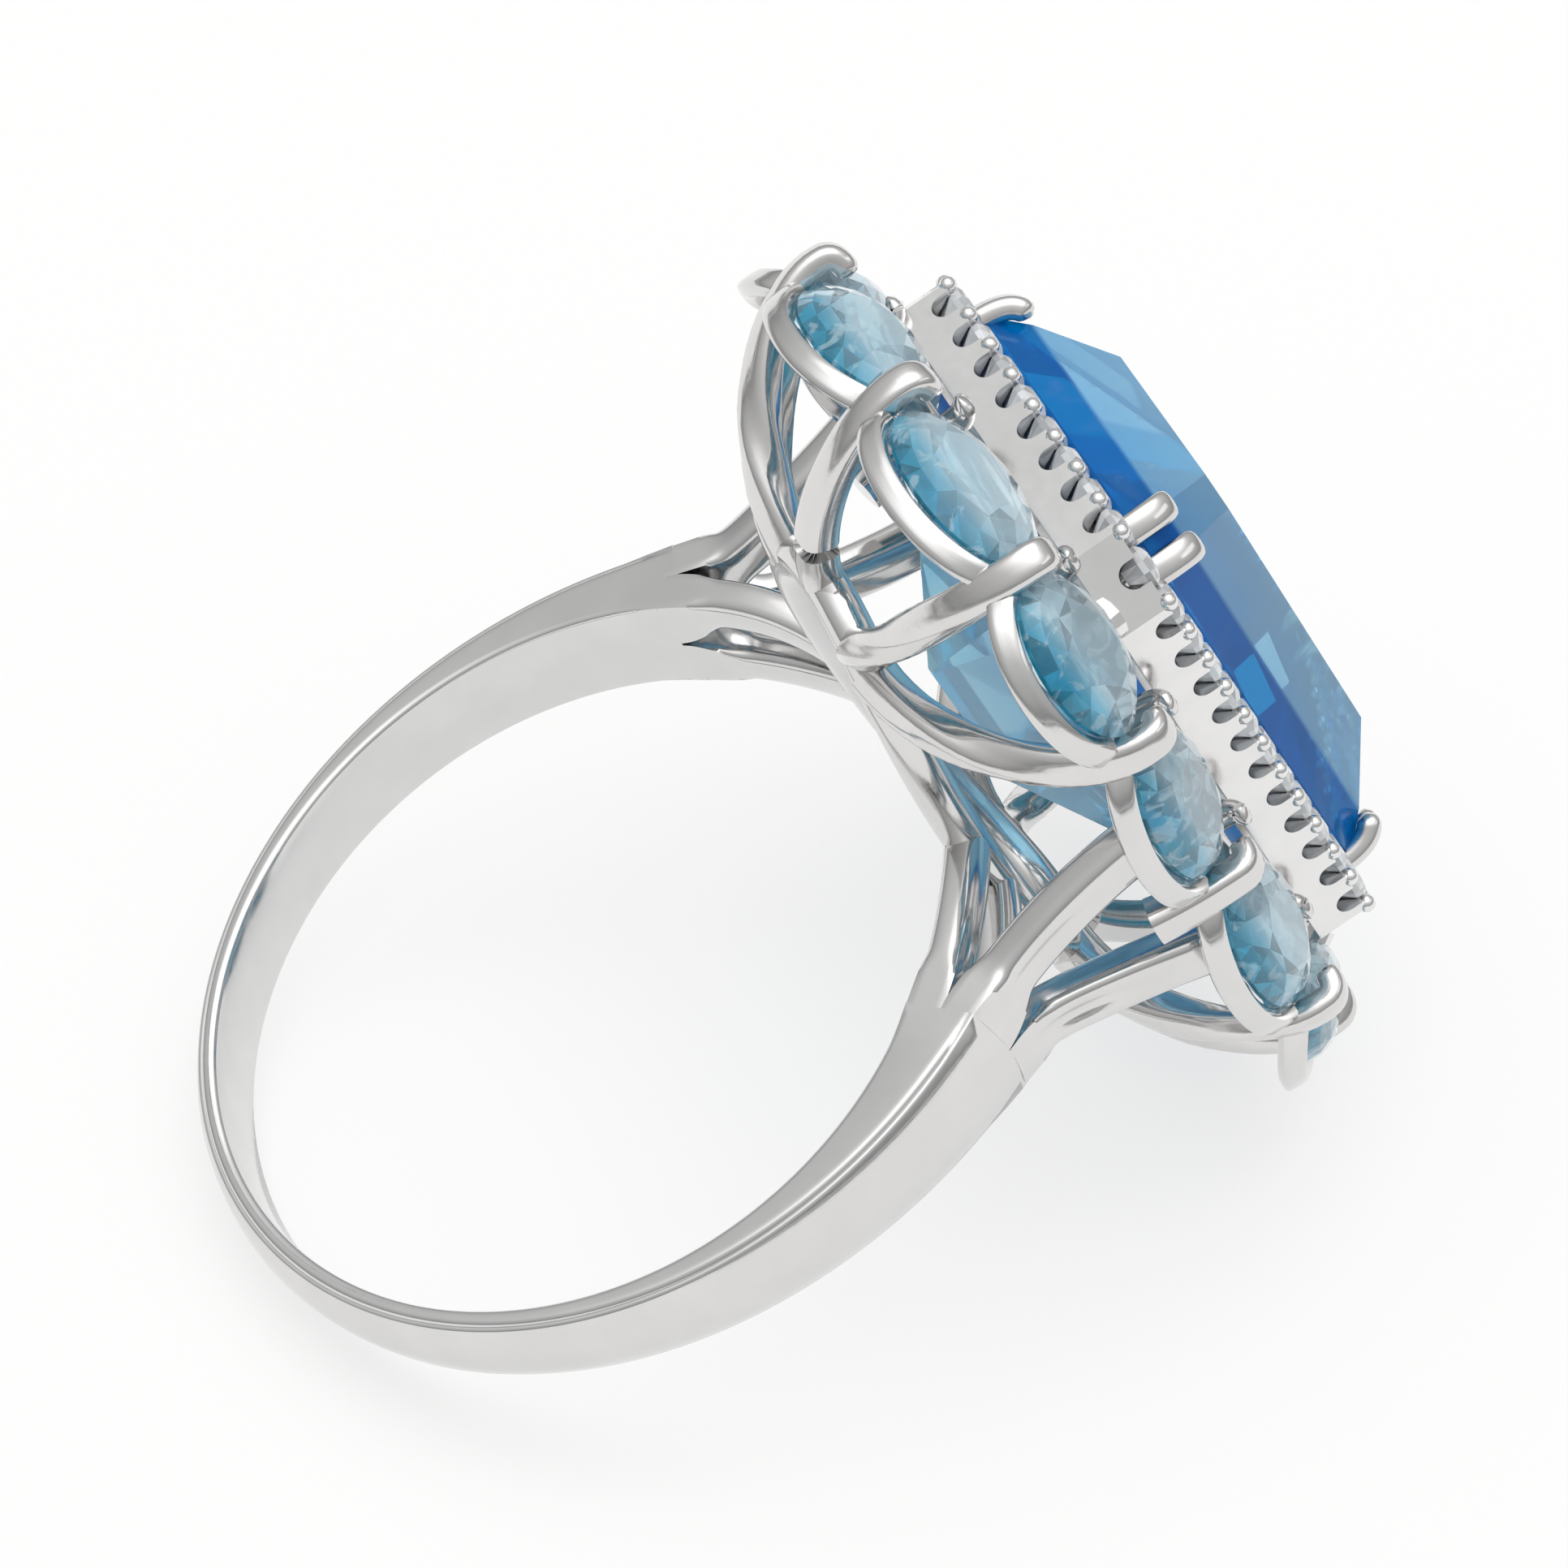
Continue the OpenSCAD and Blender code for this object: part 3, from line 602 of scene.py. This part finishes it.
for_strip = bmesh.new()
for i in range(12):
    path = [girdle_point(i, 200 + 140 * k / 24, 0.12, 0.32) for k in range(25)]
    rings = [section(p, t, up, 0.42, 0.60, 4.5, 24) for p, t in zip(path, tangents(path))]
    loft(for_strip, rings)
finished(for_strip, "outer_seat_rail", ["outer_seat_rail"], white_gold)

inner_x, inner_y = border_x - 1.55, border_y - 1.85
inner_z = border_z + 0.05

def loop_point(hx, hy, degrees, power=3.2):
    a = math.radians(degrees)
    c, s = math.cos(a), math.sin(a)
    k = (abs(c) ** power + abs(s) ** power) ** (-1 / power)
    return Vector((hx * k * c, hy * k * s, inner_z))

path = [loop_point(inner_x, inner_y, 360 * k / 96) for k in range(96)]
bm = bmesh.new()
loft(bm, [section(p, t, (0, 0, 1), 0.5, 0.8, 3, 14)
          for p, t in zip(path, tangents(path, closed=True))], closed=True)
finished(bm, "inner_seat_rail", ["inner_seat_rail"], white_gold)

# %% [markdown]
# ## Outer claws
# Each is a bar that leaves the gallery rail, bows out and up past the seat, and is pushed
# over the ends of two stones. The tip is rounded by shrinking the last sections.

# %% Outer claws
rail_angle = {1: 54, 2: 62, 3: 90, 4: 118, 5: 126}
tip_z = border_z + 0.45

def claw_path(i):
    q, out = claws[i], claw_out(i)
    top = Vector((q.x, q.y, tip_z - 0.25)) + out * 0.10
    if i % 6 == 0:
        low = Vector((q.x, q.y, border_z - 1.85)) - out * 0.15
        rise = bent([low, low.lerp(top, 0.5) + out * 0.1, top], 8)
    else:
        low = on_rail(rail_angle[i % 6] + (180 if i >= 6 else 0))
        flat = Vector((top.x - low.x, top.y - low.y, 0))
        rise = bent([low, low + flat * 0.55 + up * 0.15, low + flat * 1.03 + up * 2.45, top], 22)
    over = bent([top, top + up * 0.34, top + up * 0.40 - out * 0.34, top + up * 0.34 - out * 0.66], 10)
    return rise + over[1:]

def claw(i):
    path = claw_path(i)
    out = claw_out(i)
    rings = []
    for place, along, (f, tip) in zip(path, tangents(path), tapered(path, path_length(path), 0.22)):
        wide = (1.0 - 0.22 * f) * tip
        deep = (0.92 - 0.34 * f) * tip
        rings.append(section(place, along, (out.x, out.y, 0.5), wide, deep, 3.2, 24))
    bm = bmesh.new()
    loft(bm, rings)
    finished(bm, f"claw_{i + 1:02d}", [f"claw_{i + 1:02d}"], claw_gold)

for i in range(12):
    claw(i)

# %% Inner claws
bm = bmesh.new()
for i in range(12):
    q, out = claws[i], claw_out(i)
    foot = loop_point(inner_x, inner_y, math.degrees(math.atan2(q.y / inner_y, q.x / inner_x)))
    path = bent([foot, foot + up * 0.85, foot + up * 0.98 + out * 0.2, foot + up * 0.9 + out * 0.62], 10)
    rings = []
    for k, (place, along) in enumerate(zip(path, tangents(path))):
        f = k / 10
        tip = math.sqrt(max(0.03, 1 - max(0, f - 0.7) ** 2 / 0.09))
        wide, deep = (0.78 - 0.2 * f) * tip, (0.54 - 0.2 * f) * tip
        rings.append(section(place, along, (out.x, out.y, 0.2), wide, deep, 2.4, 14))
    loft(bm, rings)
finished(bm, "inner_claws", ["inner_claws"], claw_gold)

# %% [markdown]
# ## Round stones of the halo
# Forty-two small brilliants with a row of bead grains on both sides. The frame, its posts and
# the centre seat keep their CAD shape, cut-downs and all, with a better finish.

# %% Halo
line_x, line_y = halo_x - halo_w / 2, halo_y - halo_w / 2
halo_cut = 1.35
long_count, short_count = 11, 8
long_pitch = 2 * (halo_y - halo_cut) / long_count
short_pitch = 2 * (halo_x - halo_cut) / short_count
bead_row = 0.40 * halo_w
melee = []
for s in (-1, 1):
    for k in range(long_count):
        melee.append((s * line_x, (k - (long_count - 1) / 2) * long_pitch))
    for k in range(short_count):
        melee.append(((k - (short_count - 1) / 2) * short_pitch, s * line_y))
back_off = halo_cut / 2 + halo_w / 2 * math.sqrt(0.5)
for sx, sy in corners:
    melee.append((sx * (halo_x - back_off), sy * (halo_y - back_off)))

bm = bmesh.new()
for x, y in melee:
    gem_bm = bmesh.new()
    place = Vector((x, y, halo_z + 0.07))
    for height, share, count, phase in ((-0.50, 0.42, 8, 0), (-0.12, 1, 12, 0), (0.02, 1, 12, 0),
                                        (0.13, 0.80, 8, 0.5), (0.20, 0.56, 8, 0)):
        lift = Matrix.Translation(place + up * height)
        spin = Matrix.Rotation(2 * math.pi * phase / count, 4, "Z")
        bmesh.ops.create_circle(gem_bm, segments=count, radius=0.50 * share, matrix=lift @ spin)
    hull(gem_bm)
    part = bpy.data.meshes.new("brilliant")
    gem_bm.to_mesh(part)
    gem_bm.free()
    bm.from_mesh(part)
    bpy.data.meshes.remove(part)
finished(bm, "halo_stones", ["halo_stones"], colourless, smooth=0)

bm = bmesh.new()
bead_spots = []
for s in (-1, 1):
    for e in (-1, 1):
        bead_spots += [(s * (line_x + e * bead_row), (k - long_count / 2) * long_pitch)
                       for k in range(long_count + 1)]
        bead_spots += [((k - short_count / 2) * short_pitch, s * (line_y + e * bead_row))
                       for k in range(short_count + 1)]
for n, (x, y) in enumerate(bead_spots):
    lean = Matrix.Rotation(0.5 * math.sin(n * 2.4), 4, "X") @ Matrix.Rotation(0.5 * math.cos(n * 1.7), 4, "Y")
    shape = Matrix.Diagonal((0.21, 0.21, 0.20, 1))
    bmesh.ops.create_icosphere(bm, subdivisions=2, radius=1,
                               matrix=Matrix.Translation((x, y, halo_z + 0.06)) @ lean @ shape)
finished(bm, "halo_beads", ["halo_beads"], halo_gold)

for node in ("halo_frame", "halo_posts", "centre_seat"):
    obj = frame["nodes"][node]
    obj.data.materials.clear()
    obj.data.materials.append(halo_gold if node.startswith("halo") else white_gold)

# %% [markdown]
# ## The centre stone
# A step cut: ring after ring of eight-sided outlines, each smaller than the last, so the
# facets run parallel to the edges.

# %% Centre stone
stone_w = stone_high.x
stone_l = stone_high.y
cut = 1.06
girdle_z = 15.0

def step_level(bm, inset, height, corner):
    made = bmesh.ops.create_grid(bm, x_segments=1, y_segments=1, size=1)["verts"]
    for v in made:
        v.co = Vector((v.co.x * max(0.05, stone_w - inset), v.co.y * (stone_l - inset), height))
    bmesh.ops.bevel(bm, geom=made, offset=corner * math.sqrt(2) / 2, offset_type="OFFSET", affect="VERTICES",
                    segments=1, profile=0.5, material=-1)

crown = stone_high.z - girdle_z
depth = girdle_z - stone_low.z
keel = stone_w - 0.1
bm = bmesh.new()
for inset, height, corner in (
        (keel, -depth, 0.05), (stone_w * 0.45, -depth * 0.66, 0.6), (stone_w * 0.14, -depth * 0.30, 0.9),
        (0.0, -0.12, cut), (0.0, 0.08, cut), (0.55, crown * 0.42, cut * 0.95), (1.75, crown, cut * 0.8)):
    step_level(bm, inset, girdle_z + height, corner)
hull(bm)
finished(bm, "centre_stone", ["centre_stone"], deep_blue, smooth=0)

# %% Centre claws
def centre_claw(k):
    sx = 1 if k < 4 else -1
    sy = 1 if k % 4 < 2 else -1
    out = Vector((sx, sy, 0)).normalized()
    along_cut = Vector((-out.y, out.x, 0)) * (0.5 if k % 2 == 0 else -0.5)
    foot = Vector((sx * (stone_w - cut / 2), sy * (stone_l - cut / 2), 0)) + along_cut
    path = bent([foot + out * 0.16 + up * (halo_z - 0.9), foot + out * 0.34 + up * (girdle_z + 0.35),
                 foot + out * 0.14 + up * (girdle_z + 0.82), foot - out * 0.36 + up * (girdle_z + 0.92)], 20)
    rings = [section(place, along, (out.x, out.y, 0.3), 0.70 * tip, 0.54 * tip, 3.0, 20)
             for place, along, (f, tip) in zip(path, tangents(path), tapered(path, path_length(path), 0.26))]
    bm = bmesh.new()
    loft(bm, rings)
    finished(bm, f"centre_claw_{k + 1}", [f"centre_claw_{k + 1}"], claw_gold)

for k in range(8):
    centre_claw(k)

# %% [markdown]
# ## Floor, light and camera
# The ring lies on its side, so the floor is a pale plane that leans in the ring's own frame
# and touches the shank's edge and the head's edge. It lets the view through from behind.

# %% Floor
head_low, head_high = node_size("outer_seat_rail")
lean = Vector((0, head_high.y - band_half(0), head_low.z + finger_r + 0.75)).normalized()
floor_up = Vector((0, -lean.z, lean.y))
floor_gap = min((Vector((0, band_half(0), -finger_r - 0.55))).dot(floor_up),
                Vector((0, head_high.y, head_low.z)).dot(floor_up)) - 0.05
bm = bmesh.new()
floor_turn = floor_up.to_track_quat("Z", "Y").to_matrix().to_4x4()
bmesh.ops.create_circle(bm, cap_ends=True, segments=96, radius=1.6,
                        matrix=Matrix.Translation(floor_up * floor_gap * MM) @ floor_turn)
floor_mesh = bpy.data.meshes.new("floor")
bm.to_mesh(floor_mesh)
bm.free()
floor = bpy.data.objects.new("floor", floor_mesh)
bpy.context.scene.collection.objects.link(floor)
paper, tree, shader = new_material("paper")
shader.inputs["Base Color"].default_value = (0.28, 0.28, 0.28, 1)
shader.inputs["Emission Color"].default_value = (1, 0.997, 0.993, 1)
shader.inputs["Emission Strength"].default_value = 0.69
shader.inputs["Roughness"].default_value = 0.9
seen = tree.nodes.new("ShaderNodeNewGeometry")
clear_back = tree.nodes.new("ShaderNodeBsdfTransparent")
pick = tree.nodes.new("ShaderNodeMixShader")
tree.links.new(seen.outputs["Backfacing"], pick.inputs["Fac"])
tree.links.new(shader.outputs["BSDF"], pick.inputs[1])
tree.links.new(clear_back.outputs["BSDF"], pick.inputs[2])
tree.links.new(pick.outputs["Shader"], tree.nodes["Material Output"].inputs["Surface"])
floor_mesh.materials.append(paper)
print("floor leans", round(math.degrees(math.atan2(floor_up.z, -floor_up.y)), 1), "gap", round(floor_gap, 2))

# %% Camera
azimuth, elevation, roll = (math.radians(v) for v in (40.86, 2.10, 55.64))
distance = 172.55
aim = Vector((-1.036, -0.614, 5.826))
back = Vector((math.sin(azimuth) * math.cos(elevation),
               -math.cos(azimuth) * math.cos(elevation), math.sin(elevation)))
flat_right = Vector((math.cos(azimuth), math.sin(azimuth), 0))
flat_up = back.cross(flat_right)
right = flat_right * math.cos(roll) + flat_up * math.sin(roll)
above = flat_up * math.cos(roll) - flat_right * math.sin(roll)
camera_data = bpy.data.cameras.new("camera")
camera_data.lens = 182.5
camera_data.sensor_width = 36
camera_data.clip_start = 0.01
camera_data.clip_end = 10
camera = bpy.data.objects.new("camera", camera_data)
bpy.context.scene.collection.objects.link(camera)
pose = Matrix((right, above, back)).transposed().to_4x4()
camera.matrix_world = Matrix.Translation((aim + back * distance) * MM) @ pose
bpy.context.scene.camera = camera

# %% Studio
world = bpy.data.worlds.new("studio")
bpy.context.scene.world = world
world.use_nodes = True
tree = world.node_tree
tree.nodes.clear()
where = tree.nodes.new("ShaderNodeTexCoord")
facing = tree.nodes.new("ShaderNodeVectorMath")
facing.operation = "DOT_PRODUCT"
facing.inputs[1].default_value = floor_up
tree.links.new(where.outputs["Generated"], facing.inputs[0])
ramp = tree.nodes.new("ShaderNodeValToRGB")
ramp.color_ramp.elements[0].position = 0.0
ramp.color_ramp.elements[0].color = (0.3, 0.3, 0.3, 1)
ramp.color_ramp.elements[1].position = 1.0
ramp.color_ramp.elements[1].color = (1, 1, 1, 1)
studio_greys = ((0.49, 0.10), (0.512, 0.10), (0.526, 0.46), (0.542, 0.14), (0.57, 0.17), (0.65, 0.25),
                (0.75, 0.30), (0.833, 0.36), (0.875, 0.46), (0.925, 0.66), (0.96, 0.90))
for position, grey in studio_greys:
    stop = ramp.color_ramp.elements.new(position)
    stop.color = (grey, grey, grey, 1)
halve = tree.nodes.new("ShaderNodeMapRange")
halve.inputs["From Min"].default_value = -1
tree.links.new(facing.outputs["Value"], halve.inputs["Value"])
tree.links.new(halve.outputs["Result"], ramp.inputs["Fac"])
light = tree.nodes.new("ShaderNodeBackground")
light.inputs["Strength"].default_value = 1.9
tree.links.new(ramp.outputs["Color"], light.inputs["Color"])
plain = tree.nodes.new("ShaderNodeBackground")
plain.inputs["Color"].default_value = (0.975, 0.975, 0.975, 1)
path_kind = tree.nodes.new("ShaderNodeLightPath")
choose = tree.nodes.new("ShaderNodeMixShader")
output = tree.nodes.new("ShaderNodeOutputWorld")
tree.links.new(path_kind.outputs["Is Camera Ray"], choose.inputs["Fac"])
tree.links.new(light.outputs["Background"], choose.inputs[1])
tree.links.new(plain.outputs["Background"], choose.inputs[2])
tree.links.new(choose.outputs["Shader"], output.inputs["Surface"])

def softbox(name, direction, away, size, power):
    lamp = bpy.data.lights.new(name, "AREA")
    lamp.shape = "RECTANGLE"
    lamp.size, lamp.size_y = size
    lamp.energy = power
    obj = bpy.data.objects.new(name, lamp)
    bpy.context.scene.collection.objects.link(obj)
    centre = Vector((0, 0, 6 * MM))
    direction = Vector(direction).normalized()
    turn = direction.to_track_quat("Z", "Y").to_matrix().to_4x4()
    obj.matrix_world = Matrix.Translation(centre + direction * away) @ turn
    return obj

softbox("top_box", floor_up + above * 0.4, 0.30, (0.30, 0.30), 0.08)
softbox("side_box", right + above * 0.5 + back * 0.6, 0.35, (0.05, 0.30), 0.03)
bpy.context.scene.view_settings.view_transform = "Standard"
